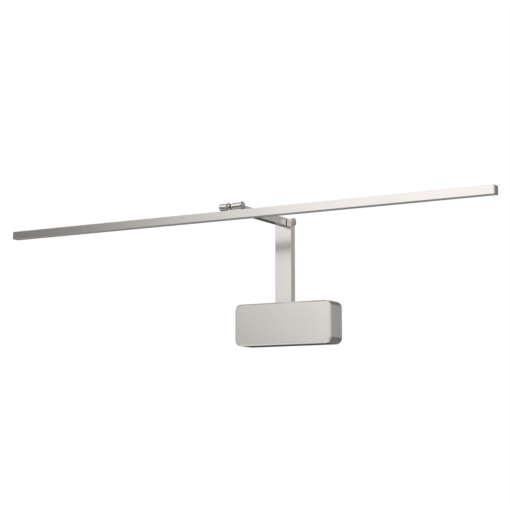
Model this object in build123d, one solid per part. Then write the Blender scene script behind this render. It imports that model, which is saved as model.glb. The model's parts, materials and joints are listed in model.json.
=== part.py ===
from build123d import *
from math import asin, cos, sin
import os

# Slim LED picture light. +X runs along the light bar, -Y points out of the wall, +Z is up.
# The origin is the centre of the housing's wall face. All sizes are in millimetres.

# Housing on the wall
housing_width, housing_height, housing_depth = 125.2, 48.9, 29.1
housing_corner, housing_bevel, housing_wall = 7.5, 1.8, 1.5

# Wall bracket inside the housing
bracket_width, bracket_height, bracket_thick = 113.0, 45.5, 1.5
wall_hole_spacing, wall_hole_z, wall_hole_r = 60.0, 14.0, 2.25
tab_x, tab_width, tab_reach, cover_screw_y = 45.0, 12.0, 14.0, -8.0
cable_hole_x, cable_hole_z, cable_hole_r = -28.0, -7.0, 7.0

# Lower arm: an upright flat tube on top of the housing
lower_width, lower_depth, lower_wall, lower_edge = 20.85, 9.5, 1.2, 0.25
lower_y = -20.3
lower_top = 121.4
foot_height, insert_bottom, foot_screw_x, pin_x, lead_hole_r = 14.0, 96.0, 5.5, 6.5, 2.2

# Fold hinge, at the top of the lower arm, and tilt hinge, on top of the light bar
hinge_z = 118.1
arm_reach = 122.7
slot_width, slot_floor = 10.2, 113.35
pivot_r, pivot_head_r, pivot_back_r, pivot_head, pivot_dome = 2.0, 4.5, 4.2, 3.2, 1.3
nut_boss_r, nut_boss = 2.8, 5.0

# Upper arm: a slim tube between the two hinges
upper_width, upper_height, upper_wall, upper_edge = 8.9, 8.7, 0.8, 0.25
upper_start, upper_end = -36.1, -129.5
spigot_gap, spigot_length = 0.05, 12.0
rear_eye_width = 8.9
neck_shoulder = 1.5

# Tilt hinge: places along X of its parts, from the knob's outer face to the bolt's head
knob_out, knob_in, ring_in, lug_in, eye_left, eye_right, boss_out, head_out = (
    -13.4, -4.6, -2.95, -0.5, 1.3, 2.9, 13.2, 16.0)
bolt_r, bolt_head_r, bolt_dome = 1.75, 4.6, 1.3
knob_r, ring_r, ring_edge, lug_r, friction_r, eye_r, boss_r = 3.8, 4.7, 0.15, 3.5, 2.3, 3.2, 3.8

# Light bar
bar_length, bar_height, bar_depth, bar_wall = 600.0, 9.1, 9.8, 1.0
bar_top = 113.3
cap_thick, peg_length = 1.5, 6.0
board_width, board_thick, board_z = 8.6, 1.0, 109.15
groove_deep, lip = 0.5, 0.3
saddle_base, saddle_half_depth, web_half_depth = 0.9, 3.0, 1.8
saddle_screw_x = (1.2, 8.0)
chip_count, chip_pitch = 60, 9.6
chip_size = (3.5, 2.8, 0.8)

# Driver and terminal block
driver_x, driver_z = 20.0, -7.0
driver_length, driver_height, driver_depth, driver_wall = 52.0, 24.0, 17.0, 1.2
flange, base_thick = 6.0, 1.5
block_x, block_z = -49.0, -1.0
block_size = (14.0, 14.0, 28.0)

# Screws, wires and running clearance
clearance = 0.05
mains_wire_r, lead_r = 0.9, 1.4
m2_r, m3_r, m4_r = 1.0, 1.5, 2.0
earth_screw_x = 8.0

# Derived places
housing_top = housing_height / 2
front_y = -housing_depth
bar_y = lower_y - arm_reach
bar_bottom = bar_top - bar_height
lower_front = lower_y - lower_depth / 2
lower_back = lower_y + lower_depth / 2
driver_front = -bracket_thick - base_thick
driver_board_y = driver_front - 4.1
driver_lead_y = driver_front - 11.0


def block(x0, x1, y0, y1, z0, z1):
    """A box between two corners."""
    size = (x1 - x0, y1 - y0, z1 - z0)
    return Pos((x0 + x1) / 2, (y0 + y1) / 2, (z0 + z1) / 2) * Box(*size)


def rod_x(radius, x0, x1, y, z):
    """A cylinder along X."""
    return Pos((x0 + x1) / 2, y, z) * Rot(0, 90, 0) * Cylinder(radius, x1 - x0)


def rod_y(radius, x, y0, y1, z):
    """A cylinder along Y."""
    return Pos(x, (y0 + y1) / 2, z) * Rot(90, 0, 0) * Cylinder(radius, y1 - y0)


def rod_z(radius, x, y, z0, z1):
    """A cylinder along Z."""
    return Pos(x, y, (z0 + z1) / 2) * Cylinder(radius, z1 - z0)


def long_edges(solid, axis):
    """The straight edges that run along an axis."""
    return solid.edges().filter_by(axis)


def housing_block(inset, y_front):
    """A round-cornered block from the wall face out to y_front, inset from the housing's sides."""
    outline = RectangleRounded(
        housing_width - 2 * inset, housing_height - 2 * inset, housing_corner - inset)
    return extrude(Plane.XZ * outline, -y_front)


def housing_cover():
    """The cover: a bevelled shell, open at the wall, drilled for the arm and its own screws."""
    outer = housing_block(0, front_y)
    outer = chamfer(outer.faces().sort_by(Axis.Y)[0].edges(), housing_bevel)
    cover = outer - housing_block(housing_wall, front_y + housing_wall)
    cover -= [rod_z(m3_r + 0.1, x, lower_y, 0, housing_top + 1) for x in (-foot_screw_x, foot_screw_x)]
    cover -= rod_z(lead_hole_r, 0, lower_y, 0, housing_top + 1)
    cover -= [countersunk_screw(x, 0.1) for x in (-tab_x, tab_x)]
    return cover


def countersunk_screw(x, gap):
    """The body of a flush screw through the cover's underside into the bracket's tab."""
    bottom, wall, head_r = -housing_top, housing_wall, 2.8
    head = Pos(x, cover_screw_y, bottom + wall / 2) * Cone(head_r + gap, m3_r + gap, wall)
    return head + rod_z(m3_r + gap, x, cover_screw_y, bottom + wall / 2, bottom + 5 + gap)


def cover_screws():
    """Two flush screws that hold the cover to the bracket."""
    place = -housing_top
    return [cross_cut(countersunk_screw(x, 0), Pos(x, cover_screw_y, place), 2.0)
            for x in (-tab_x, tab_x)]


def wall_bracket():
    """The folded steel plate that is screwed to the wall."""
    half_x, half_z = bracket_width / 2, bracket_height / 2
    plate = block(-half_x, half_x, -bracket_thick, 0, -half_z, half_z)
    plate = fillet(long_edges(plate, Axis.Y), 3)
    for x in (-tab_x, tab_x):
        left, right = x - tab_width / 2, x + tab_width / 2
        plate += block(left, right, -tab_reach, 0, half_z - bracket_thick, half_z)
        plate += block(left, right, -tab_reach, 0, -half_z, -half_z + bracket_thick)
        plate -= rod_z(m3_r + clearance, x, cover_screw_y, -half_z - 1, 0)
        plate -= rod_y(wall_hole_r, x / tab_x * wall_hole_spacing / 2, -5, 5, wall_hole_z)
    plate -= rod_y(cable_hole_r, cable_hole_x, -5, 5, cable_hole_z)
    plate -= rod_y(m4_r + clearance, earth_screw_x, -5, 5, wall_hole_z)
    plate -= rod_y(m3_r + clearance, block_x, -5, 5, block_z)
    plate -= [rod_y(m3_r + clearance, x, -5, 5, driver_z) for x in driver_screw_places()]
    return plate


def driver_screw_places():
    """X of the two screws that hold the driver."""
    half = driver_length / 2 + flange / 2
    return driver_x - half, driver_x + half


def cable_grommet():
    """The rubber ring that lines the bracket's cable hole."""
    y_mid = -bracket_thick / 2
    ring = rod_y(cable_hole_r - clearance, cable_hole_x, y_mid - 1.75, -0.05, cable_hole_z)
    ring += rod_y(cable_hole_r + 2, cable_hole_x, y_mid - 2.75, y_mid - 0.75, cable_hole_z)
    return ring - rod_y(cable_hole_r - 2, cable_hole_x, -10, 5, cable_hole_z)


def pan_screw_y(x, y_seat, z, radius, head_r, head, shank):
    """A pan-head screw driven towards the wall, seated at y_seat, with a cross recess."""
    screw = rod_y(head_r, x, y_seat - head, y_seat, z) + rod_y(radius, x, y_seat, y_seat + shank, z)
    return cross_cut(screw, Pos(x, y_seat - head, z) * Rot(90, 0, 0), head_r)


def pan_screw_z(x, y, z_seat, radius, head_r, head, shank):
    """A pan-head screw driven upwards, seated at z_seat, with a cross recess."""
    screw = rod_z(head_r, x, y, z_seat - head, z_seat) + rod_z(radius, x, y, z_seat, z_seat + shank)
    return cross_cut(screw, Pos(x, y, z_seat - head), head_r)


def cross_cut(screw, place, head_r):
    """Cuts a shallow cross recess into a screw's head."""
    for turn in (0, 90):
        screw -= place * Rot(0, 0, turn) * Box(head_r * 1.1, head_r * 0.25, 1.0)
    return screw


def terminal_block():
    """The three-way block that takes the mains wires."""
    width, depth, height = block_size
    back = -bracket_thick
    body = block(block_x - width / 2, block_x + width / 2, back - depth, back,
                 block_z - height / 2, block_z + height / 2)
    for z in terminal_places():
        body -= rod_x(1.7, block_x - width, block_x + width, back - 6, z)
        body -= [rod_y(1.6, block_x + side, back - 15, back - 6, z) for side in (-4, 4)]
    body -= rod_y(m3_r + clearance, block_x, back - 20, 0, block_z)
    body -= rod_y(3.0, block_x, back - 20, back - 3, block_z)
    return body


def terminal_places():
    """Z of the three ways, spread around the block's fixing screw."""
    return block_z - 10, block_z + 5.4, block_z + 10.4


def terminal_screws():
    """Six clamping screws, two for each way."""
    y_top = -bracket_thick - block_size[1]
    screws = []
    for z in terminal_places():
        for side in (-4, 4):
            screw = rod_y(1.5, block_x + side, y_top + 1, y_top + 6, z)
            screw -= Pos(block_x + side, y_top + 1, z) * Box(4, 1.2, 0.6)
            screws.append(screw)
    return screws


def driver_base():
    """The driver's floor, with a fixing flange at each end."""
    half = driver_length / 2 + flange
    base = block(driver_x - half, driver_x + half, driver_front, -bracket_thick,
                 driver_z - driver_height / 2, driver_z + driver_height / 2)
    return base - [rod_y(m3_r + 0.1, x, -9, 1, driver_z) for x in driver_screw_places()]


def driver_case():
    """The driver's lid: a box open towards its base."""
    half_x, half_z = driver_length / 2, driver_height / 2
    case = block(driver_x - half_x, driver_x + half_x, driver_front - driver_depth, driver_front,
                 driver_z - half_z, driver_z + half_z)
    case = fillet(long_edges(case, Axis.Y), 2)
    wall = driver_wall
    case -= block(driver_x - half_x + wall, driver_x + half_x - wall,
                  driver_front - driver_depth + wall, driver_front,
                  driver_z - half_z + wall, driver_z + half_z - wall)
    case -= [rod_x(mains_wire_r + 0.2, driver_x - half_x - 1, driver_x, driver_lead_y, z)
             for z in (driver_z - 3, driver_z + 3)]
    return case - rod_z(lead_r + 0.2, driver_x - 20, driver_lead_y, driver_z, driver_z + half_z + 1)


def driver_board():
    """The driver's circuit board, on four short feet."""
    half_x, half_z = driver_length / 2 - 3, driver_height / 2 - 3
    board = block(driver_x - half_x, driver_x + half_x, driver_board_y, driver_board_y + 1.6,
                  driver_z - half_z, driver_z + half_z)
    for x in (-half_x + 3, half_x - 3):
        board += [rod_y(1.2, driver_x + x, driver_front - 3, driver_front, driver_z + z)
                  for z in (-half_z + 3, half_z - 3)]
    return board


def driver_components():
    """Transformer, two capacitors and a choke, standing on the board."""
    seat = driver_board_y
    transformer = block(driver_x - 4, driver_x + 8, seat - 9.5, seat, driver_z - 6, driver_z + 6)
    input_cap = rod_y(3.8, driver_x - 11, seat - 5, seat, driver_z)
    output_cap = rod_y(3.0, driver_x + 15, seat - 10, seat, driver_z + 3.5)
    choke = rod_y(2.6, driver_x + 15, seat - 7, seat, driver_z - 4)
    return [transformer, input_cap, output_cap, choke]


def wire(radius, *points):
    """A round wire through a line of points, with bends rounded off."""
    path = FilletPolyline(*points, radius=3)
    start = Plane(origin=path @ 0, z_dir=path % 0)
    return sweep(start * Circle(radius), path=path)


def input_leads():
    """Two mains wires from the terminal block into the driver."""
    y_block, y_driver = -bracket_thick - 6, driver_lead_y
    x_block = block_x + block_size[0] / 2 - 3
    x_driver = driver_x - driver_length / 2 + 3
    return [
        wire(mains_wire_r, (x_block, y_block, terminal_places()[0]), (-34, y_block, terminal_places()[0]),
             (-34, y_driver - 2, driver_z - 3), (-22, y_driver, driver_z - 3),
             (x_driver, y_driver, driver_z - 3)),
        wire(mains_wire_r, (x_block, y_block, terminal_places()[1]), (-36, y_block, terminal_places()[1]),
             (-30, y_driver - 2, driver_z + 3), (-20, y_driver, driver_z + 3),
             (x_driver, y_driver, driver_z + 3)),
    ]


def supply_lead():
    """The low-voltage lead from the driver up through the lower arm, short of the fold hinge."""
    start_x, level = driver_x - 20, 13
    return wire(lead_r, (start_x, driver_lead_y, driver_z + 8), (start_x, driver_lead_y, level),
                (0, lower_y, level), (0, lower_y, insert_bottom + 10))


def foot_plate():
    """The stiffening plate under the housing's top wall, below the arm."""
    top = housing_top - housing_wall
    plate = block(-14, 14, lower_y - 4.5, lower_y + 4.5, top - 1.5, top)
    plate -= [rod_z(m3_r + 0.1, x, lower_y, 0, 40) for x in (-foot_screw_x, foot_screw_x)]
    return plate - rod_z(lead_hole_r, 0, lower_y, 0, 40)


def arm_foot():
    """The threaded plug in the lower end of the lower arm."""
    half_x, half_y = lower_width / 2 - lower_wall - clearance, lower_depth / 2 - lower_wall - clearance
    plug = block(-half_x, half_x, lower_y - half_y, lower_y + half_y,
                 housing_top, housing_top + foot_height)
    plug -= [rod_z(m3_r + clearance, x, lower_y, 0, housing_top + 10) for x in (-foot_screw_x, foot_screw_x)]
    plug -= rod_z(lead_hole_r, 0, lower_y, 0, 60)
    return plug - foot_pin_rods(0.02)


def foot_pin_rods(gap):
    """Two short pins through the back of the lower arm into its foot."""
    return [rod_y(1.0 + gap, x, lower_back - 3.0 - gap, lower_back + gap, housing_top + 11)
            for x in (-pin_x, pin_x)]


def fork_pin_rods(gap):
    """Two short pins through the back of the lower arm into the fork insert."""
    return [rod_y(1.0 + gap, x, lower_back - 3.0 - gap, lower_back + gap, insert_bottom + 5)
            for x in (-pin_x, pin_x)]


def hinge_slot():
    """The slot that turns the lower arm's head into a fork."""
    return block(-slot_width / 2, slot_width / 2, lower_y - 10, lower_y + 10, slot_floor, 140)


def lower_arm():
    """The upright flat tube, slotted at its top and drilled for the pivot."""
    half_x, half_y = lower_width / 2, lower_depth / 2
    tube = block(-half_x, half_x, lower_y - half_y, lower_y + half_y, housing_top, lower_top)
    tube = fillet(long_edges(tube, Axis.Z), lower_edge)
    half_x, half_y = half_x - lower_wall, half_y - lower_wall
    tube -= block(-half_x, half_x, lower_y - half_y, lower_y + half_y, 0, 200)
    tube -= hinge_slot()
    tube -= rod_x(pivot_r + clearance, 0, 20, lower_y, hinge_z)
    tube -= rod_x(nut_boss_r + clearance, -20, 0, lower_y, hinge_z)
    return tube - foot_pin_rods(0.02) - fork_pin_rods(0.02)


def fork_insert():
    """The solid insert that fills the tube's head and carries the pivot."""
    half_x, half_y = lower_width / 2 - lower_wall - clearance, lower_depth / 2 - lower_wall - clearance
    insert = block(-half_x, half_x, lower_y - half_y, lower_y + half_y, insert_bottom, lower_top)
    insert -= hinge_slot()
    insert -= rod_x(pivot_r + clearance, 0, 20, lower_y, hinge_z)
    insert -= rod_x(nut_boss_r + clearance, -20, 0, lower_y, hinge_z)
    insert -= rod_z(2.0, 0, lower_y, insert_bottom - 1, insert_bottom + 12)
    return insert - fork_pin_rods(0.02)


def button_head(radius, back_r, x0, x1, dome, y, z):
    """A head along X, widening from back_r to its radius, with a dome of the given rise as its +X face."""
    ball = (radius ** 2 + dome ** 2) / (2 * dome)
    half_turn = asin(radius / ball) / 2
    rim = x1 - dome
    on_dome = (x1 - ball + ball * cos(half_turn), ball * sin(half_turn))
    outline = Polyline((x1, 0), (x0, 0), (x0, back_r), (rim, radius))
    outline += ThreePointArc((rim, radius), on_dome, (x1, 0))
    return Pos(0, y, z) * revolve(make_face(outline), Axis.X)


def pivot_screw():
    """The fold hinge's screw, with a flared button head on the right."""
    side = lower_width / 2
    screw = button_head(pivot_head_r, pivot_back_r, side, side + pivot_head, pivot_dome, lower_y, hinge_z)
    screw += rod_x(pivot_r, -side + nut_boss + 0.3, side, lower_y, hinge_z)
    return screw + rod_x(m3_r, -side + 2.2, side, lower_y, hinge_z)


def pivot_nut():
    """The sleeve nut, slotted and flush with the left of the fold hinge."""
    side = lower_width / 2
    nut = rod_x(nut_boss_r, -side, -side + nut_boss, lower_y, hinge_z)
    nut -= Pos(-side, lower_y, hinge_z) * Box(1.6, 1.0, 2 * nut_boss_r)
    return nut - rod_x(m3_r + clearance, -side + 2, 0, lower_y, hinge_z)


def pivot_washers():
    """Two thin friction washers, one on each side of the arm's eye."""
    inner, outer = rear_eye_width / 2 + clearance, slot_width / 2 - clearance / 2
    washers = []
    for x0, x1 in ((-outer, -inner), (inner, outer)):
        washers.append(rod_x(4.0, x0, x1, lower_y, hinge_z)
                       - rod_x(pivot_r + clearance, -20, 20, lower_y, hinge_z))
    return washers


def rear_tongue():
    """The upper arm's rear end: a round eye on a flat-sided tongue, and a spigot."""
    half_z, eye_x = upper_height / 2, rear_eye_width / 2
    tongue = block(-eye_x, eye_x, upper_start, lower_y, hinge_z - half_z, hinge_z + half_z)
    tongue = fillet(long_edges(tongue, Axis.Y), upper_edge)
    tongue += rod_x(half_z, -eye_x, eye_x, lower_y, hinge_z) + spigot(upper_start, -1)
    tongue -= rod_x(pivot_r + clearance, -20, 20, lower_y, hinge_z)
    tongue -= rod_y(1.6, 0, upper_start - spigot_length - 1, lower_front - 3, hinge_z)
    return tongue - tongue_pin_rods(0.02)


def spigot(y, direction):
    """The part of a tongue that fits inside the upper arm, from y in the given direction."""
    half_x = upper_width / 2 - upper_wall - spigot_gap
    half_z = upper_height / 2 - upper_wall - spigot_gap
    y0, y1 = sorted((y, y + direction * spigot_length))
    return block(-half_x, half_x, y0, y1, hinge_z - half_z, hinge_z + half_z)


def tongue_pin_rods(gap):
    """Two short pins, from below, that hold the tongues in the upper arm."""
    bottom = hinge_z - upper_height / 2
    return [rod_z(0.9 + gap, 0, y, bottom - gap, bottom + 2.5 + gap)
            for y in (upper_start - 7, upper_end + 6)]


def upper_arm():
    """The slim tube between the hinges."""
    half_x, half_z = upper_width / 2, upper_height / 2
    tube = block(-half_x, half_x, upper_end, upper_start, hinge_z - half_z, hinge_z + half_z)
    tube = fillet(long_edges(tube, Axis.Y), upper_edge)
    half_x, half_z = half_x - upper_wall, half_z - upper_wall
    tube -= block(-half_x, half_x, upper_end - 1, upper_start + 1, hinge_z - half_z, hinge_z + half_z)
    return tube - tongue_pin_rods(0.02)


def front_tongue():
    """The upper arm's front end: a spigot, a shoulder and a raised neck with the tilt eye."""
    half_x, half_z = upper_width / 2, upper_height / 2
    shoulder = block(-half_x, half_x, upper_end - neck_shoulder, upper_end,
                     hinge_z - half_z, hinge_z + half_z)
    tongue = fillet(long_edges(shoulder, Axis.Y), upper_edge) + spigot(upper_end, 1)
    left, right = eye_left + clearance, eye_right - clearance
    tongue += block(left, right, bar_y, upper_end - 1, hinge_z + 0.15, hinge_z + eye_r)
    tongue += rod_x(eye_r, left, right, bar_y, hinge_z)
    tongue -= rod_x(bolt_r + clearance, -20, 20, bar_y, hinge_z)
    tongue -= rod_y(1.6, 0, upper_end + 1, upper_end + 20, hinge_z)
    return tongue - tongue_pin_rods(0.02)


def upper_arm_lead():
    """The low-voltage lead inside the upper arm, short of both hinges."""
    return rod_y(lead_r, 0, upper_end + 2, lower_front - 4, hinge_z)


def saddle():
    """The bracket on the bar: a base, with a round lug and a round boss on narrow webs."""
    left = ring_in + clearance
    base = bar_block(left, boss_out, saddle_half_depth, bar_top, bar_top + saddle_base)
    lug = rod_x(lug_r, left, lug_in, bar_y, hinge_z)
    lug += bar_block(left, lug_in, web_half_depth, bar_top, hinge_z)
    boss = rod_x(boss_r, eye_right, boss_out, bar_y, hinge_z)
    boss += bar_block(eye_right, boss_out, web_half_depth, bar_top, hinge_z)
    body = base + lug + boss - rod_x(bolt_r + 0.02, -20, 20, bar_y, hinge_z)
    return body - saddle_screw_rods(clearance)


def saddle_screw_rods(gap):
    """The shanks of the two screws that hold the saddle to the bar."""
    top = bar_top + saddle_base
    left, right = saddle_screw_x
    return [rod_z(m2_r + gap, left, bar_y, bar_top - 1.2, top),
            rod_z(m2_r + gap, right, bar_y, bar_top - 1.2, top + 0.8)]


def saddle_screws():
    """Two screws from inside the bar up into the saddle."""
    left, right = saddle_screw_x
    seat = bar_top - 1.2
    return [pan_screw_z(left, bar_y, seat, m2_r, 1.9, 0.9, 1.2 + saddle_base),
            pan_screw_z(right, bar_y, seat, m2_r, 1.9, 0.9, 1.9 + saddle_base)]


def tilt_bolt():
    """The tilt hinge's bolt, with a wide button head on the right."""
    bolt = button_head(bolt_head_r, bolt_head_r, boss_out, head_out, bolt_dome, bar_y, hinge_z)
    bolt += rod_x(bolt_r, knob_out + 1.2, boss_out, bar_y, hinge_z)
    return bolt - rod_x(1.2, head_out - 0.7, 20, bar_y, hinge_z)


def friction_washer():
    """The soft washer between the saddle's lug and the arm's eye."""
    washer = rod_x(friction_r, lug_in + clearance / 2, eye_left, bar_y, hinge_z)
    return washer - rod_x(bolt_r + clearance, -20, 20, bar_y, hinge_z)


def ring_washer():
    """The thrust washer under the knob, flared from the knob's width to the lug's."""
    flare_end = ring_in - ring_edge
    flare = Cone(knob_r + 0.1, ring_r, flare_end - knob_in)
    washer = Pos((knob_in + flare_end) / 2, bar_y, hinge_z) * Rot(0, 90, 0) * flare
    washer += rod_x(ring_r, flare_end, ring_in, bar_y, hinge_z)
    return washer - rod_x(bolt_r + clearance, -20, 20, bar_y, hinge_z)


def clamp_knob():
    """The plain round knob that clamps the tilt."""
    knob = rod_x(knob_r, knob_out, knob_in - clearance, bar_y, hinge_z)
    knob = chamfer(knob.edges().filter_by(GeomType.CIRCLE), 0.4)
    return knob - rod_x(bolt_r + clearance, knob_out + 0.9, 0, bar_y, hinge_z)


def bar_span():
    """X of the two ends of the bar's profile, between its end caps."""
    half = bar_length / 2 - cap_thick
    return -half, half


def bar_block(x0, x1, half_width, z0, z1):
    """A box on the bar's centre line."""
    return block(x0, x1, bar_y - half_width, bar_y + half_width, z0, z1)


def bar_profile():
    """The extruded channel, open below, with grooves for the board and the diffuser."""
    x0, x1 = bar_span()
    inner = bar_depth / 2 - bar_wall
    profile = bar_block(x0, x1, bar_depth / 2, bar_bottom, bar_top)
    profile = fillet(long_edges(profile, Axis.X), 0.35)
    profile -= bar_block(x0 - 1, x1 + 1, inner, bar_bottom + 1.0, bar_top - 1.2)
    profile -= bar_block(x0 - 1, x1 + 1, inner - lip, bar_bottom - 1, bar_bottom + 2)
    profile -= bar_block(x0 - 1, x1 + 1, inner + groove_deep, board_z - 0.05, board_z + board_thick + 0.05)
    profile -= bar_block(x0 - 1, x1 + 1, inner + groove_deep, bar_bottom + 1.0, bar_bottom + 2.1)
    return profile - saddle_screw_rods(0.1)


def led_board():
    """The long circuit board that slides into the bar."""
    reach = bar_length / 2 - 4
    return bar_block(-reach, reach, board_width / 2, board_z, board_z + board_thick)


def led_chips():
    """The row of LEDs under the board."""
    long_x, wide, thick = chip_size
    start = -chip_pitch * (chip_count - 1) / 2
    return [Pos(start + i * chip_pitch, bar_y, board_z - thick / 2) * Box(long_x, wide, thick)
            for i in range(chip_count)]


def diffuser():
    """The opal strip that closes the bar's underside."""
    x0, x1 = bar_span()
    inner = bar_depth / 2 - bar_wall
    strip = bar_block(x0, x1, inner + groove_deep - 0.1, bar_bottom + 1.05, bar_bottom + 2.05)
    return strip + bar_block(x0, x1, inner - lip - 0.05, bar_bottom + 0.05, bar_bottom + 1.5)


def end_cap(side):
    """An end cap: a plate with two pegs, on the left (-1) or right (+1) end."""
    outer, inner = side * bar_length / 2, side * (bar_length / 2 - cap_thick)
    tip = inner - side * peg_length
    plate = bar_block(*sorted((inner, outer)), bar_depth / 2, bar_bottom, bar_top)
    outer_face = plate.faces().sort_by(Axis.X)[-1 if side > 0 else 0]
    plate = chamfer(outer_face.edges(), 0.3)
    half = bar_depth / 2 - bar_wall - 0.1
    plate += bar_block(*sorted((tip, inner)), half, board_z + board_thick + 0.1, bar_top - 1.3)
    return plate + bar_block(*sorted((tip, inner)), half, bar_bottom + 2.15, board_z - 0.1)


def bar_lead():
    """The short lead in the bar's upper channel, ending at the board."""
    z = board_z + board_thick + 1.0
    return wire(0.7, (12, bar_y, z), (26, bar_y, z), (34, bar_y, z - 0.25))


parts = {
    "wall_bracket": wall_bracket(),
    "cable_grommet": cable_grommet(),
    "terminal_block": terminal_block(),
    "terminal_screws": terminal_screws(),
    "block_screw": pan_screw_y(block_x, -bracket_thick - 3, block_z, m3_r, 2.8, 2.0, 4.4),
    "earth_screw": pan_screw_y(earth_screw_x, -bracket_thick, wall_hole_z, m4_r, 3.6, 2.6, bracket_thick),
    "driver_base": driver_base(),
    "driver_case": driver_case(),
    "driver_board": driver_board(),
    "driver_components": driver_components(),
    "driver_screws": [pan_screw_y(x, driver_front, driver_z, m3_r, 2.8, 2.0, 2.9)
                      for x in driver_screw_places()],
    "input_leads": input_leads(),
    "supply_lead": supply_lead(),
    "housing_cover": housing_cover(),
    "cover_screws": cover_screws(),
    "foot_plate": foot_plate(),
    "arm_foot": arm_foot(),
    "foot_screws": [pan_screw_z(x, lower_y, housing_top - housing_wall - 1.5, m3_r, 2.7, 2.0, 12)
                    for x in (-foot_screw_x, foot_screw_x)],
    "foot_pins": foot_pin_rods(0),
    "lower_arm": lower_arm(),
    "fork_insert": fork_insert(),
    "fork_pins": fork_pin_rods(0),
    "pivot_screw": pivot_screw(),
    "pivot_nut": pivot_nut(),
    "pivot_washers": pivot_washers(),
    "rear_tongue": rear_tongue(),
    "upper_arm": upper_arm(),
    "tongue_pins": tongue_pin_rods(0),
    "upper_arm_lead": upper_arm_lead(),
    "front_tongue": front_tongue(),
    "saddle": saddle(),
    "saddle_screws": saddle_screws(),
    "tilt_bolt": tilt_bolt(),
    "friction_washer": friction_washer(),
    "ring_washer": ring_washer(),
    "clamp_knob": clamp_knob(),
    "bar_profile": bar_profile(),
    "led_board": led_board(),
    "led_chips": led_chips(),
    "diffuser": diffuser(),
    "end_cap_left": end_cap(-1),
    "end_cap_right": end_cap(1),
    "bar_lead": bar_lead(),
}

os.makedirs("parts", exist_ok=True)
for name, shape in parts.items():
    solids = shape if isinstance(shape, list) else [shape]
    node = solids[0] if len(solids) == 1 else Compound(children=solids)
    export_step(node, f"parts/{name}.step")
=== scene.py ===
import json
import math

import bmesh
import bpy
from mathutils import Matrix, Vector

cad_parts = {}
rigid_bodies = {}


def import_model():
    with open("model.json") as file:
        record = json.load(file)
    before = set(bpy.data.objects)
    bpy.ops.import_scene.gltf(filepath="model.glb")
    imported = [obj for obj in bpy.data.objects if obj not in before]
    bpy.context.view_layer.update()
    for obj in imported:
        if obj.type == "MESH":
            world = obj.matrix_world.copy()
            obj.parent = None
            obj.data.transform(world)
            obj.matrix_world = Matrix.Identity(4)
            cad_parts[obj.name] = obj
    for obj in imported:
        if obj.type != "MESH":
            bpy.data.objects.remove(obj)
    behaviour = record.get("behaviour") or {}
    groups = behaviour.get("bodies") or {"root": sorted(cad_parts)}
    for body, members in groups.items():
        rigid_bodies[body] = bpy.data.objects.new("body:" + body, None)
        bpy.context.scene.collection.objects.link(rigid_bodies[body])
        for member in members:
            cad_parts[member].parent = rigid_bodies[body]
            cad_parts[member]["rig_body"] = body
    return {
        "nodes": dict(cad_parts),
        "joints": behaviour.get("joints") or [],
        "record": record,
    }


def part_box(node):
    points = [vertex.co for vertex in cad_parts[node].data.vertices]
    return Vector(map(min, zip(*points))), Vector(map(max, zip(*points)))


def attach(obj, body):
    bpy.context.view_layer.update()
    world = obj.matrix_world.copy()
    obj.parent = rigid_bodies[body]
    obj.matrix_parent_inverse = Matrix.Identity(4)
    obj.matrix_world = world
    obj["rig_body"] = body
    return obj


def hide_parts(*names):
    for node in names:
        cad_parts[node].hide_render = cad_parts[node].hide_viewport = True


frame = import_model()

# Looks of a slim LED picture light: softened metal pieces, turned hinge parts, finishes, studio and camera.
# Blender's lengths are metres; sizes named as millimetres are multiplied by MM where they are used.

bpy.context.view_layer.update()

MM = 0.001
NODES = frame["nodes"]
JOINTS = {joint["name"]: joint for joint in frame["joints"]}
SLOT_OF = {part["node"]: part["material_slot"] for part in frame["record"]["subparts"]}
FOLD_AXIS = Vector(JOINTS["arm_fold"]["pos_m"])
TILT_AXIS = Vector(JOINTS["bar_tilt"]["pos_m"])

# Brushed nickel and polished nickel, as reflectance
NICKEL = (0.83, 0.792, 0.756)
BRIGHT = (0.66, 0.635, 0.605)

# Surface patterns, as frequencies per metre
FINE_GRAIN, LONG_GRAIN = 5200.0, 70.0
METAL_CLOUDS, PLASTIC_CLOUDS, FLOOR_CLOUDS = 22.0, 60.0, 1.2
LATHE_RINGS, HANDLING_MARKS = 6500.0, 420.0
MOULD_SPARK, WIRE_SPARK = 1800.0, 900.0
ZINC_CRYSTALS, ROLLING_LINES, ROLLING_LENGTH = 260.0, 2600.0, 30.0
BOARD_TRACKS = 180.0

# The middle of a noise's range, which most patterns use
MIDDLE = (0.3, 0.7)


# ---------------------------------------------------------------- node graphs

def connect(tree, node, **inputs):
    """Links or sets a node's inputs: in0, in1 and so on by number, others by name, with _ for a space."""
    for key, value in inputs.items():
        numbered = key.startswith("in") and key[2:].isdigit()
        socket = node.inputs[int(key[2:]) if numbered else key.replace("_", " ")]
        if isinstance(value, bpy.types.NodeSocket):
            tree.links.new(value, socket)
        else:
            socket.default_value = value


def put(tree, kind, settings=None, **inputs):
    """Adds a shader node with its own settings, and links or sets its inputs."""
    node = tree.nodes.new(kind)
    for key, value in (settings or {}).items():
        setattr(node, key, value)
    connect(tree, node, **inputs)
    return node


def math_node(tree, operation, *values):
    """A Math node's output."""
    inputs = {f"in{i}": value for i, value in enumerate(values)}
    return put(tree, "ShaderNodeMath", {"operation": operation}, **inputs).outputs[0]


def ranged(tree, value, low, high, to_low=0.0, to_high=1.0, smooth=False):
    """A value mapped from one range to another."""
    kind = {"interpolation_type": "SMOOTHSTEP" if smooth else "LINEAR"}
    node = put(tree, "ShaderNodeMapRange", kind, Value=value,
               From_Min=low, From_Max=high, To_Min=to_low, To_Max=to_high)
    return node.outputs["Result"]


def with_alpha(colour):
    """A plain colour with its alpha; a socket stays as it is."""
    return (*colour, 1.0) if isinstance(colour, tuple) else colour


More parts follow.
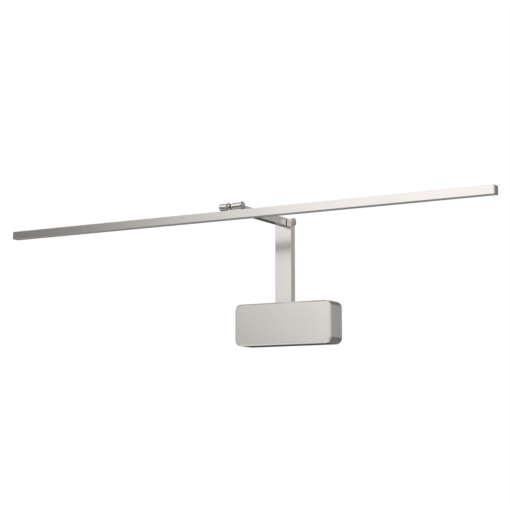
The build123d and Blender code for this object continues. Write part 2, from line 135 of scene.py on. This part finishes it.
def mixed(tree, factor, first, second):
    """Two colours mixed by a factor."""
    inputs = {"in0": factor, "in6": with_alpha(first), "in7": with_alpha(second)}
    return put(tree, "ShaderNodeMix", {"data_type": "RGBA"}, **inputs).outputs[2]


def thrice(value):
    """The same value for three channels or axes."""
    return (value,) * 3


def scaled(colour, factor):
    """A colour made lighter or darker."""
    return tuple(min(1.0, channel * factor) for channel in colour)


def own_place(tree):
    """The place on the object, in its own metres."""
    return put(tree, "ShaderNodeTexCoord").outputs["Object"]


def noise(tree, scales, detail=3.0, offset=(0.0, 0.0, 0.0)):
    """Noise with a separate frequency along each of the object's axes."""
    stretched = put(tree, "ShaderNodeMapping", Vector=own_place(tree), Scale=scales, Location=offset)
    node = put(tree, "ShaderNodeTexNoise", Vector=stretched.outputs[0], Scale=1.0, Detail=detail)
    return node.outputs[0]


def edge_mask(tree, radius):
    """1 on outside edges and 0 on flats, from how far a rounded-off normal leans."""
    flat, edge = 0.995, 0.85
    rounded = put(tree, "ShaderNodeBevel", {"samples": 4}, Radius=radius).outputs[0]
    straight = put(tree, "ShaderNodeNewGeometry").outputs["Normal"]
    lean = put(tree, "ShaderNodeVectorMath", {"operation": "DOT_PRODUCT"}, in0=rounded, in1=straight)
    return ranged(tree, lean.outputs["Value"], flat, edge)


def bump(tree, height, strength, distance):
    """A bumped normal."""
    return put(tree, "ShaderNodeBump", Height=height, Strength=strength, Distance=distance).outputs[0]


def new_material(name):
    """An empty material: its tree and its Principled node."""
    material = bpy.data.materials.new(name)
    material.use_nodes = True
    tree = material.node_tree
    tree.nodes.clear()
    out = put(tree, "ShaderNodeOutputMaterial")
    shader = put(tree, "ShaderNodeBsdfPrincipled")
    tree.links.new(shader.outputs[0], out.inputs[0])
    return material, tree, shader


# ---------------------------------------------------------------- finishes

def brushed(name, colour, grain_axis, rough, edge_sheen=0.5):
    """Brushed, plated metal: fine grain lines along one axis, soft clouds, and a painted highlight that
    lightens the outside edges.
    """
    material, tree, shader = new_material(name)
    scales = [FINE_GRAIN] * 3
    scales["XYZ".index(grain_axis)] = LONG_GRAIN
    grain = noise(tree, scales, 4.0)
    clouds = noise(tree, thrice(METAL_CLOUDS), 2.0, (3.0, 1.0, 7.0))
    tone = mixed(tree, grain, scaled(colour, 0.965), scaled(colour, 1.03))
    tone = mixed(tree, ranged(tree, clouds, *MIDDLE, 0.0, 0.35), tone, scaled(colour, 0.975))
    # Painted highlight: the colour is lightened on outside edges to stand in for light catching them.
    edges = edge_mask(tree, 0.35 * MM)
    tone = mixed(tree, math_node(tree, "MULTIPLY", edges, edge_sheen), tone, scaled(colour, 1.08))
    roughness = ranged(tree, grain, 0.25, 0.75, *rough)
    roughness = math_node(tree, "ADD", roughness, ranged(tree, clouds, *MIDDLE, -0.015, 0.015))
    connect(tree, shader, Base_Color=tone, Metallic=1.0, Roughness=roughness,
            Normal=bump(tree, grain, 0.12, 0.008 * MM))
    return material


def turned_metal(name, colour, axis, rough):
    """Polished metal off the lathe: faint rings round an axis along X, and small handling marks."""
    material, tree, shader = new_material(name)
    split = put(tree, "ShaderNodeSeparateXYZ", Vector=own_place(tree))
    across = [math_node(tree, "SUBTRACT", split.outputs[i], axis[i]) for i in (1, 2)]
    squares = [math_node(tree, "MULTIPLY", value, value) for value in across]
    radius = math_node(tree, "SQRT", math_node(tree, "ADD", *squares))
    ring = put(tree, "ShaderNodeCombineXYZ", X=split.outputs[0], Y=radius)
    rings = put(tree, "ShaderNodeTexNoise", Vector=ring.outputs[0], Scale=LATHE_RINGS, Detail=2.0).outputs[0]
    marks = noise(tree, thrice(HANDLING_MARKS), 3.0)
    tone = mixed(tree, ranged(tree, marks, 0.35, 0.75), scaled(colour, 1.02), scaled(colour, 0.94))
    connect(tree, shader, Base_Color=tone, Metallic=1.0, Roughness=ranged(tree, marks, 0.3, 0.75, *rough),
            Normal=bump(tree, rings, 0.10, 0.006 * MM))
    return material


def moulded(name, colour, rough, grain=MOULD_SPARK, depth=0.02):
    """Moulded plastic or rubber: a fine spark texture, its depth in millimetres, and uneven colour."""
    material, tree, shader = new_material(name)
    spark = noise(tree, thrice(grain), 3.0)
    clouds = noise(tree, thrice(PLASTIC_CLOUDS), 2.0, (5.0, 2.0, 1.0))
    connect(tree, shader, Base_Color=mixed(tree, clouds, scaled(colour, 0.92), scaled(colour, 1.06)),
            Roughness=ranged(tree, spark, *MIDDLE, rough - 0.05, rough + 0.07),
            Normal=bump(tree, spark, 0.35, depth * MM))
    return material


def zinc_sheet(name):
    """Zinc-plated sheet steel: pale, with faint crystals and rolling lines."""
    material, tree, shader = new_material(name)
    cells = put(tree, "ShaderNodeTexVoronoi", Vector=own_place(tree), Scale=ZINC_CRYSTALS)
    lines = noise(tree, (ROLLING_LENGTH, ROLLING_LENGTH, ROLLING_LINES), 3.0)
    shade = put(tree, "ShaderNodeSeparateColor", Color=cells.outputs["Color"]).outputs[0]
    roughness = math_node(tree, "ADD", ranged(tree, shade, 0.0, 1.0, 0.30, 0.42),
                          ranged(tree, lines, *MIDDLE, -0.04, 0.04))
    connect(tree, shader, Base_Color=mixed(tree, shade, (0.60, 0.615, 0.63), (0.70, 0.71, 0.715)),
            Metallic=1.0, Roughness=roughness, Normal=bump(tree, lines, 0.15, 0.01 * MM))
    return material


def circuit_board(name, colour):
    """Solder mask with faint track lines under it."""
    material, tree, shader = new_material(name)
    black, white = (0, 0, 0, 1), (1, 1, 1, 1)
    tracks = put(tree, "ShaderNodeTexBrick", Vector=own_place(tree), Scale=BOARD_TRACKS, Mortar_Size=0.03,
                 Color1=black, Color2=black, Mortar=white)
    connect(tree, shader, Base_Color=mixed(tree, tracks.outputs[0], colour, scaled(colour, 0.8)),
            Roughness=0.32, Normal=bump(tree, tracks.outputs[1], 0.2, 0.02 * MM))
    return material


def insulation(name, above, below, split_z):
    """Wire insulation: one colour above a height and another below it, with faint dark specks."""
    material, tree, shader = new_material(name)
    height = put(tree, "ShaderNodeSeparateXYZ", Vector=own_place(tree)).outputs[2]
    spark = noise(tree, thrice(WIRE_SPARK), 2.0)
    tone = mixed(tree, math_node(tree, "GREATER_THAN", height, split_z), below, above)
    tone = mixed(tree, ranged(tree, spark, *MIDDLE, 0.0, 0.2), tone, (0.02, 0.02, 0.02))
    connect(tree, shader, Base_Color=tone, Roughness=0.38, Normal=bump(tree, spark, 0.2, 0.02 * MM))
    return material


WIRE_BLUE, WIRE_BROWN, WIRE_SPLIT = (0.02, 0.07, 0.30), (0.10, 0.045, 0.02), -5 * MM
FINISHES = {
    "housing": brushed("housing_nickel", scaled(NICKEL, 0.97), "X", (0.13, 0.19)),
    "upright": brushed("upright_nickel", scaled(NICKEL, 1.03), "Z", (0.14, 0.20)),
    "reach": brushed("reach_nickel", NICKEL, "Y", (0.12, 0.18)),
    "bar": brushed("bar_nickel", NICKEL, "X", (0.12, 0.19)),
    "end": brushed("end_cap_nickel", scaled(NICKEL, 0.70), "Z", (0.16, 0.24)),
    "tongue": brushed("tongue_nickel", scaled(NICKEL, 1.02), "Y", (0.14, 0.22)),
    "saddle": brushed("saddle_nickel", BRIGHT, "X", (0.10, 0.18)),
    "fold_turned": turned_metal("fold_turned_nickel", scaled(BRIGHT, 1.08), FOLD_AXIS, (0.09, 0.18)),
    "tilt_turned": turned_metal("tilt_turned_nickel", BRIGHT, TILT_AXIS, (0.06, 0.15)),
    "zinc": zinc_sheet("zinc_sheet"),
    # The screw's last value sets how strongly its edges are painted lighter as a highlight.
    "screw": brushed("screw_steel", (0.62, 0.62, 0.61), "Y", (0.25, 0.38), 0.8),
    # Partly real black nylon, partly painted shade: it is made nearly black so that the hinge washers in it
    # also stand for the shadowed gaps around them.
    "black": moulded("black_nylon", (0.010, 0.010, 0.011), 0.55),
    "rubber": moulded("grommet_rubber", (0.03, 0.03, 0.03), 0.62, 900.0, 0.05),
    "block": moulded("block_nylon", (0.80, 0.79, 0.73), 0.42),
    "driver": moulded("driver_white", (0.82, 0.82, 0.80), 0.45, 1100.0, 0.04),
    "component": moulded("component_black", (0.05, 0.05, 0.055), 0.38),
    "opal": moulded("opal_diffuser", (0.82, 0.82, 0.80), 0.42, 700.0, 0.015),
    "led": moulded("led_phosphor", (0.86, 0.70, 0.25), 0.35),
    "green": circuit_board("driver_board_green", (0.04, 0.20, 0.08)),
    "white_board": circuit_board("led_board_white", (0.86, 0.86, 0.84)),
    "lead": moulded("lead_sheath", (0.78, 0.78, 0.76), 0.36, 600.0),
    "mains": insulation("mains_insulation", WIRE_BLUE, WIRE_BROWN, WIRE_SPLIT),
}
SLOT_FINISH = {
    "zinc_steel": "zinc", "screw_steel": "screw", "black_nylon": "black", "grommet_rubber": "rubber",
    "block_plastic": "block", "driver_plastic": "driver", "board_green": "green",
    "board_white": "white_board", "component_black": "component", "led_yellow": "led", "opal": "opal",
    "lead_white": "lead", "lead_brown_blue": "mains", "satin_nickel": "bar", "hinge_nickel": "saddle",
    "bright_nickel": "tilt_turned",
}
NODE_FINISH = {
    "housing_cover": "housing", "lower_arm": "upright", "fork_insert": "upright", "upper_arm": "reach",
    "rear_tongue": "tongue", "front_tongue": "tongue", "pivot_screw": "fold_turned",
    "pivot_nut": "fold_turned", "end_cap_left": "end", "end_cap_right": "end",
}


def finish_of(node):
    """The finish of a CAD node: its own, or its material slot's."""
    return FINISHES[NODE_FINISH.get(node) or SLOT_FINISH[SLOT_OF[node]]]


# ---------------------------------------------------------------- pieces

# Widths of the softened edges, in millimetres
SOFT_EDGES = {
    "housing_cover": 0.18, "lower_arm": 0.12, "fork_insert": 0.10, "rear_tongue": 0.15, "upper_arm": 0.10,
    "front_tongue": 0.15, "saddle": 0.18, "bar_profile": 0.08, "diffuser": 0.08, "end_cap_left": 0.10,
    "end_cap_right": 0.10, "wall_bracket": 0.20,
}
COPLANAR, SHARP_EDGE, SHARP_TURNED = math.radians(0.3), math.radians(28), math.radians(35)

# Knob, in millimetres: its dished face as (depth, radius), its rims, its bore, and the metal before the bore
KNOB_DISH = ((0.25, 0.0), (0.22, 1.4), (0.08, 2.4))
KNOB_RIM, KNOB_BACK_RIM, KNOB_BORE, KNOB_FLOOR = 0.45, 0.15, 1.9, 0.95

# Ring washer, in millimetres: its outer face, the start of its flare as (depth, radius), its rim and its bore
WASHER_FACE, WASHER_FLARE, WASHER_RIM, WASHER_BORE = 3.8, (0.05, 3.9), 0.08, 1.85

# Domed pins, in millimetres: a head's thickness and the radius of its back, then the shank's radii
PIN_RIM, DOME_RISE, DOME_STEPS = 0.12, 1.3, 16
BOLT_HEAD, BOLT_R = (2.8, 4.6), 1.75
PIVOT_HEAD, PIVOT_R, PIVOT_THREAD_R, PIVOT_SHOULDER = (3.2, 4.2), 2.0, 1.5, 0.3

# Recess in a pin's head, as (radius, depth)
BOLT_RECESS, NO_RECESS = (1.2, 0.7), (0, 0)


def place_piece(name, mesh, node):
    """Makes a piece that stands for a CAD node: it rides on its body and takes its finish and slot."""
    piece = bpy.data.objects.new(name, mesh)
    bpy.context.scene.collection.objects.link(piece)
    mesh.materials.append(finish_of(node))
    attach(piece, NODES[node]["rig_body"])
    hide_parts(node)
    return piece


def smooth_mesh(bm, name):
    """A mesh with smooth faces, from a bmesh that isn't used again."""
    for face in bm.faces:
        face.smooth = True
    mesh = bpy.data.meshes.new(name)
    bm.to_mesh(mesh)
    bm.free()
    return mesh


def softened(node, width, segments=3):
    """A finished copy of a CAD node, with its sharp edges rounded to a small real radius."""
    bm = bmesh.new()
    bm.from_mesh(NODES[node].data)
    bmesh.ops.remove_doubles(bm, verts=bm.verts, dist=1e-6)
    bmesh.ops.dissolve_limit(bm, angle_limit=COPLANAR, verts=bm.verts, edges=bm.edges)
    sharp = [e for e in bm.edges if len(e.link_faces) == 2 and e.calc_face_angle(0) > SHARP_EDGE]
    bmesh.ops.bevel(bm, geom=sharp, offset=width * MM, segments=segments, profile=0.5,
                    affect="EDGES", clamp_overlap=True, harden_normals=False)
    name = node + "_finished"
    piece = place_piece(name, smooth_mesh(bm, name), node)
    keep_flat = piece.modifiers.new("keep_flat", "WEIGHTED_NORMAL")
    keep_flat.keep_sharp = True
    keep_flat.weight = 100


def rim(x, r, side, size, steps=6):
    """Points (x, r) of a rounded rim, from the end face out; side is -1 for a left end and 1 for a right."""
    turns = [math.radians(90 * i / steps) for i in range(steps + 1)]
    return [(x - side * size * (1 - math.cos(a)), r - size * (1 - math.sin(a))) for a in turns]


def turned(node, outline, axis, segments=96):
    """A piece turned round an axis along X: outline is its closed section as (x, r) in millimetres."""
    bm = bmesh.new()
    rings = []
    for i in range(segments):
        turn = 2 * math.pi * i / segments
        out, up = math.cos(turn), math.sin(turn)
        rings.append([bm.verts.new((x * MM, axis.y + r * MM * out, axis.z + r * MM * up))
                      for x, r in outline])
    count = len(outline)
    for i, one in enumerate(rings):
        two = rings[(i + 1) % segments]
        for k in range(count):
            m = (k + 1) % count
            bm.faces.new((one[k], one[m], two[m], two[k]))
    bmesh.ops.remove_doubles(bm, verts=bm.verts, dist=1e-7)
    bmesh.ops.recalc_face_normals(bm, faces=bm.faces)
    for edge in bm.edges:
        edge.smooth = edge.calc_face_angle(0) < SHARP_TURNED
    name = node + "_turned"
    place_piece(name, smooth_mesh(bm, name), node)


def along_x(node):
    """Where a round CAD node starts and ends along X, and its radius, in millimetres."""
    low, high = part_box(node)
    return low[0] / MM, high[0] / MM, (high[2] - low[2]) / MM / 2


def knob():
    """The clamp knob: a plain turned barrel with a shallow dished face and a bored back."""
    x0, x1, radius = along_x("clamp_knob")
    face = [(x0 + depth, r) for depth, r in KNOB_DISH]
    outside = rim(x0, radius, -1, KNOB_RIM) + rim(x1, radius, 1, KNOB_BACK_RIM)[::-1]
    bore = [(x1, KNOB_BORE), (x0 + KNOB_FLOOR, KNOB_BORE), (x0 + KNOB_FLOOR, 0.0)]
    turned("clamp_knob", face + outside + bore, TILT_AXIS)


def washer():
    """The thrust washer: flared towards the lug, with a softly rounded rim."""
    x0, x1, radius = along_x("ring_washer")
    depth, flare_r = WASHER_FLARE
    outside = [(x0, WASHER_FACE), (x0 + depth, flare_r)] + rim(x1, radius, 1, WASHER_RIM)[::-1]
    turned("ring_washer", outside + [(x1, WASHER_BORE), (x0, WASHER_BORE)], TILT_AXIS)


def domed_pin(node, head_x, head, shank, recess, axis):
    """A pin along X with a domed head from head_x out. Its shank is steps of (x, r, x end), right to left."""
    thick, back_r = head
    tip, radius = head_x + thick, along_x(node)[2]
    ball = (radius ** 2 + DOME_RISE ** 2) / (2 * DOME_RISE)
    recess_r, recess_depth = recess
    start, end = math.asin(recess_r / ball), math.asin(radius / ball)
    turns = [start + (end - start) * i / DOME_STEPS for i in range(DOME_STEPS + 1)]
    crown = [(tip - ball + ball * math.cos(a), ball * math.sin(a)) for a in turns]
    middle = [(tip - recess_depth, 0.0), (tip - recess_depth, recess_r)] if recess_r else []
    edge = rim(head_x, back_r, -1, PIN_RIM, 3)[::-1]
    steps = [point for x, r, x_end in shank for point in ((x, r), (x_end, r))]
    turned(node, middle + crown + edge + steps + [(steps[-1][0], 0.0)], axis)


def hinge_pins():
    """The tilt bolt, with a round recess in its head, and the fold hinge's plain screw."""
    head_x, end_x = along_x("saddle")[1], along_x("tilt_bolt")[0]
    domed_pin("tilt_bolt", head_x, BOLT_HEAD, [(head_x, BOLT_R, end_x)], BOLT_RECESS, TILT_AXIS)
    head_x, end_x = along_x("lower_arm")[1], along_x("pivot_screw")[0]
    shoulder_x = along_x("pivot_nut")[1] + PIVOT_SHOULDER
    shank = [(head_x, PIVOT_R, shoulder_x), (shoulder_x, PIVOT_THREAD_R, end_x)]
    domed_pin("pivot_screw", head_x, PIVOT_HEAD, shank, NO_RECESS, FOLD_AXIS)


for node_name, node_object in NODES.items():
    node_object.data.materials.clear()
    node_object.data.materials.append(finish_of(node_name))
for node_name, edge_width in SOFT_EDGES.items():
    softened(node_name, edge_width)
knob()
washer()
hinge_pins()


# ---------------------------------------------------------------- studio

# Brightness round the compass, as (degrees from the front towards the left, value)
UPPER_PANELS = [
    (-180, 0.18), (-166, 0.18), (-152, 0.42), (-126, 0.50), (-110, 0.40), (-94, 0.22), (-78, 0.24),
    (-66, 0.76), (-54, 0.78), (-33, 0.72), (0, 1.08), (15, 1.15), (24, 1.165), (27, 1.11), (30, 0.90),
    (33, 0.675), (36, 0.385), (39, 0.20), (42, 0.14), (65, 0.17), (100, 0.17), (120, 0.42), (150, 0.20),
    (180, 0.18)]
LOWER_PANELS = [
    (-180, 0.40), (-164, 0.38), (-150, 0.30), (-120, 0.35), (-60, 0.50), (0, 0.70), (22, 0.60), (28, 0.15),
    (40, 0.14), (46, 0.66), (90, 0.62), (120, 0.30), (142, 0.16), (148, 0.075), (156, 0.075), (160, 0.15),
    (168, 0.36), (180, 0.40)]

# Brightness overhead and underfoot
ZENITH, NADIR = 0.75, 0.8

# Heights in degrees between which one part of the room passes into the next
HORIZON_BLEND, ZENITH_BLEND, NADIR_BLEND, MATT_BLEND = (-6.5, 11), (42, 75), (-42, -62), (-25, 30)

# Light on matt surfaces, from low down and from above
MATT_LIGHT = (0.29, 1.0)

# Single panels: brightness, then where each lies sideways and upwards, as (low, high, softness) in degrees
PATCHES = [
    (1.65, (29, 60, 4), (19, 46, 4)),
    (0.85, (30, 84, 6), (50, 80, 4)),
    (0.17, (-172, -146, 3), (-34, 0.5, 1.5)),
    (0.17, (-190, -170, 4), (-40, -23, 3)),
    (0.17, (154, 190, 4), (-40, -23, 3)),
]

FLOOR_HALF_SIZE, FLOOR_HEIGHT = 4.0, -0.6
LAMP_PLACE, LAMP_SIZE, LAMP_POWER = (-1.2, -1.6, 1.9), 1.6, 14.0
LAMP_TARGET = Vector((0, -0.07, 0.05))
CAMERA_PLACE, CAMERA_AZIMUTH, CAMERA_RISE = (0.7189, -1.3510, -0.1300), 29.705, 7.912
CAMERA_LENS, CAMERA_SENSOR, CAMERA_CLIP = 92.81, 36.0, (0.05, 60.0)


def around_ramp(tree, turn, stops):
    """A colour ramp round the compass from a turn of 0 to 1."""
    ramp = put(tree, "ShaderNodeValToRGB", Fac=turn)
    elements = ramp.color_ramp.elements
    for i, (degrees, value) in enumerate(stops):
        position = degrees / 360 + 0.5
        element = elements[i] if i < 2 else elements.new(position)
        element.position = position
        element.color = with_alpha(thrice(value))
    return ramp.outputs[0]


def window(tree, value, low, high, soft):
    """1 between two angles in degrees and 0 outside them, with soft edges."""
    low, high, soft = (math.radians(angle) for angle in (low, high, soft))
    rise = ranged(tree, value, low - soft, low + soft, smooth=True)
    fall = ranged(tree, value, high - soft, high + soft, 1.0, 0.0, smooth=True)
    return math_node(tree, "MULTIPLY", rise, fall)


def blend(tree, height, degrees, *values):
    """0 to 1, or between two given values, as the height passes from one angle to another."""
    return ranged(tree, height, *(math.radians(angle) for angle in degrees), *values, smooth=True)


def studio_world():
    """A pale studio: white to the camera, soft panels in reflections, and even light for matt surfaces."""
    world = bpy.data.worlds.new("studio")
    world.use_nodes = True
    bpy.context.scene.world = world
    tree = world.node_tree
    tree.nodes.clear()
    direction = put(tree, "ShaderNodeTexCoord").outputs["Generated"]
    x, y, z = put(tree, "ShaderNodeSeparateXYZ", Vector=direction).outputs
    left, front = math_node(tree, "MULTIPLY", x, -1.0), math_node(tree, "MULTIPLY", y, -1.0)
    azimuth = math_node(tree, "ARCTAN2", left, front)
    turn = ranged(tree, azimuth, -math.pi, math.pi)
    height = math_node(tree, "ARCSINE", z)
    upper, lower = around_ramp(tree, turn, UPPER_PANELS), around_ramp(tree, turn, LOWER_PANELS)
    around = mixed(tree, blend(tree, height, HORIZON_BLEND), lower, upper)
    around = mixed(tree, blend(tree, height, ZENITH_BLEND), around, thrice(ZENITH))
    around = mixed(tree, blend(tree, height, NADIR_BLEND), around, thrice(NADIR))
    for value, sideways, upwards in PATCHES:
        inside = math_node(tree, "MULTIPLY", window(tree, azimuth, *sideways), window(tree, height, *upwards))
        around = mixed(tree, inside, around, thrice(value))
    path = put(tree, "ShaderNodeLightPath")
    matt = blend(tree, height, MATT_BLEND, *MATT_LIGHT)
    light = mixed(tree, path.outputs["Is Glossy Ray"], matt, around)
    light = mixed(tree, path.outputs["Is Camera Ray"], light, thrice(1.0))
    background = put(tree, "ShaderNodeBackground", Color=light, Strength=1.0)
    put(tree, "ShaderNodeOutputWorld", Surface=background.outputs[0])


def studio_floor():
    """A plain pale floor well below the light, which neither reflects in it nor lights it."""
    bm = bmesh.new()
    bm.faces.new([bm.verts.new((sx * FLOOR_HALF_SIZE, sy * FLOOR_HALF_SIZE, FLOOR_HEIGHT))
                  for sx, sy in ((-1, -1), (1, -1), (1, 1), (-1, 1))])
    mesh = bpy.data.meshes.new("floor")
    bm.to_mesh(mesh)
    bm.free()
    floor = bpy.data.objects.new("floor", mesh)
    bpy.context.scene.collection.objects.link(floor)
    material, tree, shader = new_material("pale_floor")
    clouds = noise(tree, thrice(FLOOR_CLOUDS), 3.0)
    connect(tree, shader, Base_Color=mixed(tree, clouds, thrice(0.93), thrice(0.96)),
            Roughness=0.8, Specular_IOR_Level=0.2)
    mesh.materials.append(material)
    floor.visible_glossy = False
    floor.visible_diffuse = False


def soft_light():
    """A large square lamp aimed at the picture light's middle, which reflections don't show."""
    data = bpy.data.lights.new("key", "AREA")
    data.shape, data.size, data.energy = "SQUARE", LAMP_SIZE, LAMP_POWER
    lamp = bpy.data.objects.new("key", data)
    bpy.context.scene.collection.objects.link(lamp)
    lamp.location = LAMP_PLACE
    lamp.rotation_mode = "QUATERNION"
    lamp.rotation_quaternion = (LAMP_TARGET - lamp.location).to_track_quat("-Z", "Y")
    lamp.visible_glossy = False


def camera():
    """The camera: from the right and a little below, through a long lens."""
    azimuth, rise = math.radians(CAMERA_AZIMUTH), math.radians(CAMERA_RISE)
    ahead = Vector((-math.sin(azimuth) * math.cos(rise), math.cos(azimuth) * math.cos(rise), math.sin(rise)))
    data = bpy.data.cameras.new("camera")
    data.sensor_width, data.lens = CAMERA_SENSOR, CAMERA_LENS
    data.clip_start, data.clip_end = CAMERA_CLIP
    eye = bpy.data.objects.new("camera", data)
    bpy.context.scene.collection.objects.link(eye)
    eye.location = CAMERA_PLACE
    eye.rotation_mode = "QUATERNION"
    eye.rotation_quaternion = ahead.to_track_quat("-Z", "Y")
    bpy.context.scene.camera = eye


studio_world()
studio_floor()
soft_light()
camera()
bpy.context.scene.view_settings.view_transform = "Standard"
